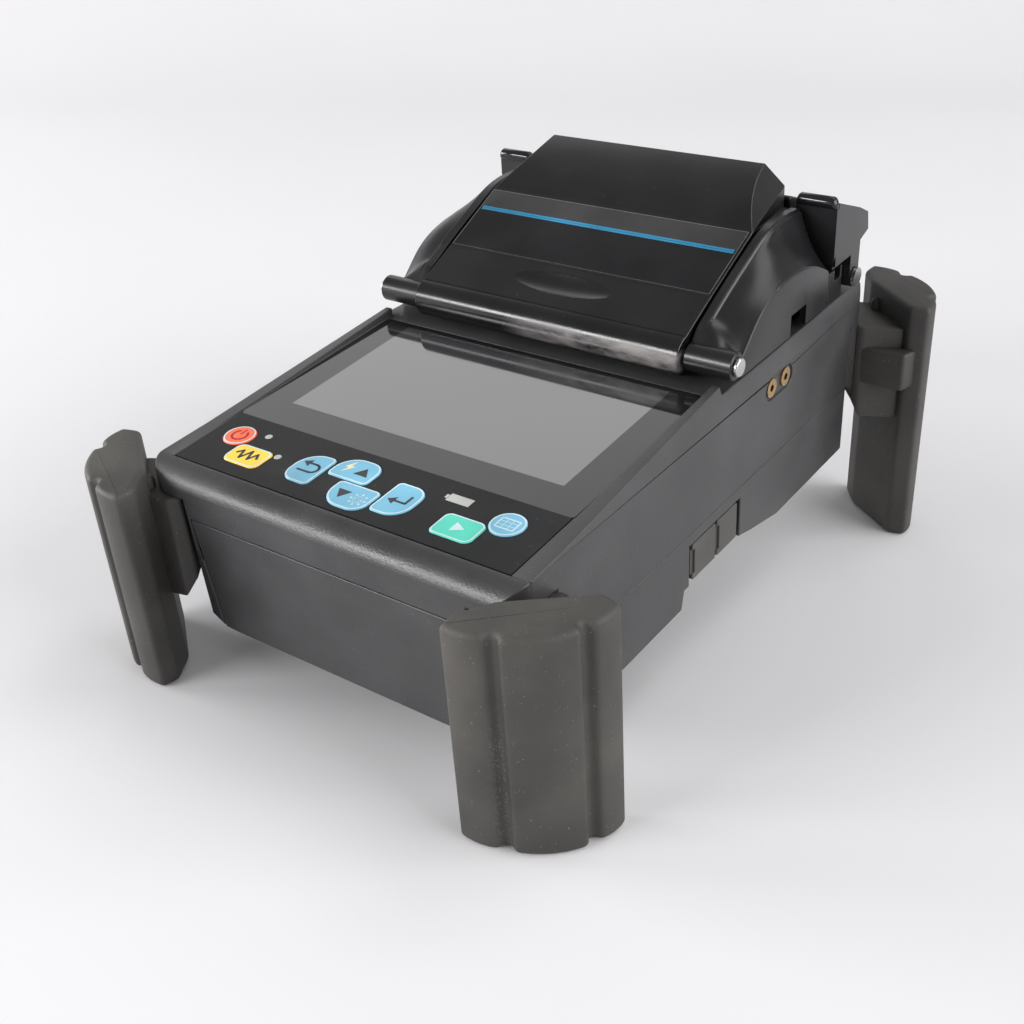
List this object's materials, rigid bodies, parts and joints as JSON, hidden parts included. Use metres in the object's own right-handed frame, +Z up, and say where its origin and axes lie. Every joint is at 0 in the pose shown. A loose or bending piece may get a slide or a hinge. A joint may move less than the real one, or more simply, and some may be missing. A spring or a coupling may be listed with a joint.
{
  "type": "fiber fusion splicer",
  "caption": "Portable fusion splicer for optical fiber: wedge-shaped case with display and keypad, hinged wind cover, tube heater and rubber corner guards that it stands on, pitched forward.",
  "frame": {"origin": "on the floor under the middle of the footprint of the four guards", "axes": "+Z up, +Y from the keypad to the heater at the rear, +X to the side with the sockets; the case itself is pitched 5.6 degrees forward about X on its guards"},
  "size_m": [0.17, 0.2505, 0.1314],
  "materials": {
    "battery_plastic": "black moulded plastic, fine satin grain",
    "board": "solder mask",
    "bright_steel": "turned",
    "case_plastic": "black moulded plastic, fine satin grain",
    "ceramic": "fine ceramic",
    "cover_rubber": "moulded rubber, matte",
    "dark_steel": "black oxide",
    "gold_contact": "gold plated",
    "guard_rubber": "moulded rubber, matte, dusty",
    "hood_plastic": "black moulded plastic, semi-gloss",
    "insert_brass": "turned",
    "key_blue": "printed key cap, satin",
    "key_green": "printed key cap, satin",
    "key_red": "printed key cap, satin",
    "key_yellow": "printed key cap, satin",
    "label": "printed label, gloss, one blue line",
    "lamp": "translucent lamp lens",
    "lcd": "dark display panel",
    "lens_barrel": "black anodised",
    "membrane": "printed overlay film, satin",
    "pad_rubber": "soft rubber pad",
    "screen_cover": "smoked clear cover, glossy",
    "socket_plastic": "black plastic",
    "stage_metal": "anodised"
  },
  "bodies": {
    "case": {"arc_transformer": "socket_plastic", "aux_sockets": "gold_contact", "battery_contacts": "gold_contact", "case_screws": "dark_steel", "circuit_boards": "board", "corner_guard_front_left": "guard_rubber", "corner_guard_front_right": "guard_rubber", "corner_guard_rear_left": "guard_rubber", "corner_guard_rear_right": "guard_rubber", "display_module": "lcd", "display_window": "screen_cover", "electrode_front": "bright_steel", "electrode_holders": "ceramic", "electrode_rear": "bright_steel", "electrode_screws": "bright_steel", "feed_drives": "bright_steel", "heater_base": "hood_plastic", "heater_clamp_rests": "hood_plastic", "heater_pins": "bright_steel", "heater_trough": "stage_metal", "hinge_brackets": "case_plastic", "hinge_pin": "bright_steel", "keypad_membrane": "membrane", "lower_case": "case_plastic", "objective_front": "lens_barrel", "objective_rear": "lens_barrel", "port_sockets": "socket_plastic", "stage_base": "stage_metal", "status_lamps": "lamp", "tripod_insert": "insert_brass", "upper_case": "case_plastic", "v_block_left": "ceramic", "v_block_right": "ceramic"},
    "battery": {"battery_pack": "battery_plastic"},
    "wind_cover_body": {"wind_cover": "hood_plastic", "cover_label": "label", "clamp_holders": "hood_plastic"},
    "heater_lid_body": {"heater_lid": "hood_plastic"},
    "usb_cover_body": {"usb_cover": "cover_rubber"},
    "inlet_cover_body": {"inlet_cover": "cover_rubber"},
    "power_key": {"key_power": "key_red"},
    "heat_key": {"key_heat": "key_yellow"},
    "back_key": {"key_back": "key_blue"},
    "up_key": {"key_up": "key_blue"},
    "down_key": {"key_down": "key_blue"},
    "enter_key": {"key_enter": "key_blue"},
    "start_key": {"key_start": "key_green"},
    "view_key": {"key_view": "key_blue"},
    "side_lid_left_body": {"side_lid_left": "hood_plastic"},
    "sheath_clamp_left_body": {"sheath_clamp_left": "pad_rubber"},
    "fiber_clamp_left_body": {"fiber_clamp_left": "ceramic"},
    "feed_carriage_left_body": {"feed_carriage_left": "stage_metal"},
    "heater_clamp_left_body": {"heater_clamp_left": "hood_plastic"},
    "side_lid_right_body": {"side_lid_right": "hood_plastic"},
    "sheath_clamp_right_body": {"sheath_clamp_right": "pad_rubber"},
    "fiber_clamp_right_body": {"fiber_clamp_right": "ceramic"},
    "feed_carriage_right_body": {"feed_carriage_right": "stage_metal"},
    "heater_clamp_right_body": {"heater_clamp_right": "hood_plastic"}
  },
  "joints": [
    {"name": "wind_cover_hinge", "type": "hinge", "parent": "case", "child": "wind_cover_body", "pos_m": [0, -0.00281, 0.08917], "axis": [1, 0, 0], "range_deg": [0, 95]},
    {"name": "side_lid_left_hinge", "type": "hinge", "parent": "case", "child": "side_lid_left_body", "pos_m": [0, -0.00281, 0.08917], "axis": [1, 0, 0], "range_deg": [0, 95]},
    {"name": "sheath_clamp_left_slide", "type": "slide", "parent": "side_lid_left_body", "child": "sheath_clamp_left_body", "axis": [0, -0.0981, 0.9952], "range_m": [0, 0.001], "stiffness_N_per_m": 300, "springref_m": -0.001},
    {"name": "fiber_clamp_left_slide", "type": "slide", "parent": "wind_cover_body", "child": "fiber_clamp_left_body", "axis": [0, -0.0981, 0.9952], "range_m": [0, 0.0008], "stiffness_N_per_m": 300, "springref_m": -0.001},
    {"name": "feed_left_slide", "type": "slide", "parent": "case", "child": "feed_carriage_left_body", "axis": [1, 0, 0], "range_m": [-0.0008, 0.0008]},
    {"name": "heater_clamp_left_hinge", "type": "hinge", "parent": "case", "child": "heater_clamp_left_body", "pos_m": [0, 0.0776, 0.09508], "axis": [-1, 0, 0], "range_deg": [0, 60]},
    {"name": "side_lid_right_hinge", "type": "hinge", "parent": "case", "child": "side_lid_right_body", "pos_m": [0, -0.00281, 0.08917], "axis": [1, 0, 0], "range_deg": [0, 95]},
    {"name": "sheath_clamp_right_slide", "type": "slide", "parent": "side_lid_right_body", "child": "sheath_clamp_right_body", "axis": [0, -0.0981, 0.9952], "range_m": [0, 0.001], "stiffness_N_per_m": 300, "springref_m": -0.001},
    {"name": "fiber_clamp_right_slide", "type": "slide", "parent": "wind_cover_body", "child": "fiber_clamp_right_body", "axis": [0, -0.0981, 0.9952], "range_m": [0, 0.0008], "stiffness_N_per_m": 300, "springref_m": -0.001},
    {"name": "feed_right_slide", "type": "slide", "parent": "case", "child": "feed_carriage_right_body", "axis": [1, 0, 0], "range_m": [-0.0008, 0.0008]},
    {"name": "heater_clamp_right_hinge", "type": "hinge", "parent": "case", "child": "heater_clamp_right_body", "pos_m": [0, 0.0776, 0.09508], "axis": [-1, 0, 0], "range_deg": [0, 60]},
    {"name": "heater_lid_hinge", "type": "hinge", "parent": "case", "child": "heater_lid_body", "pos_m": [0, 0.08257, 0.09969], "axis": [-1, 0, 0], "range_deg": [0, 75]},
    {"name": "battery_slide", "type": "slide", "parent": "case", "child": "battery", "axis": [0, -0.9952, -0.0981], "range_m": [0, 0.078]},
    {"name": "usb_cover_hinge", "type": "hinge", "parent": "case", "child": "usb_cover_body", "pos_m": [0.0608, -0.01316, 0.03007], "axis": [0, 0.9952, 0.0981], "range_deg": [0, 100]},
    {"name": "inlet_cover_hinge", "type": "hinge", "parent": "case", "child": "inlet_cover_body", "pos_m": [0.0608, 0.00067, 0.03143], "axis": [0, 0.9952, 0.0981], "range_deg": [0, 100]},
    {"name": "power_key_press", "type": "slide", "parent": "case", "child": "power_key", "axis": [0, 0.1531, -0.9882], "range_m": [0, 0.0004], "stiffness_N_per_m": 800},
    {"name": "heat_key_press", "type": "slide", "parent": "case", "child": "heat_key", "axis": [0, 0.1531, -0.9882], "range_m": [0, 0.0004], "stiffness_N_per_m": 800},
    {"name": "back_key_press", "type": "slide", "parent": "case", "child": "back_key", "axis": [0, 0.1531, -0.9882], "range_m": [0, 0.0004], "stiffness_N_per_m": 800},
    {"name": "up_key_press", "type": "slide", "parent": "case", "child": "up_key", "axis": [0, 0.1531, -0.9882], "range_m": [0, 0.0004], "stiffness_N_per_m": 800},
    {"name": "down_key_press", "type": "slide", "parent": "case", "child": "down_key", "axis": [0, 0.1531, -0.9882], "range_m": [0, 0.0004], "stiffness_N_per_m": 800},
    {"name": "enter_key_press", "type": "slide", "parent": "case", "child": "enter_key", "axis": [0, 0.1531, -0.9882], "range_m": [0, 0.0004], "stiffness_N_per_m": 800},
    {"name": "start_key_press", "type": "slide", "parent": "case", "child": "start_key", "axis": [0, 0.1531, -0.9882], "range_m": [0, 0.0004], "stiffness_N_per_m": 800},
    {"name": "view_key_press", "type": "slide", "parent": "case", "child": "view_key", "axis": [0, 0.1531, -0.9882], "range_m": [0, 0.0004], "stiffness_N_per_m": 800}
  ]
}
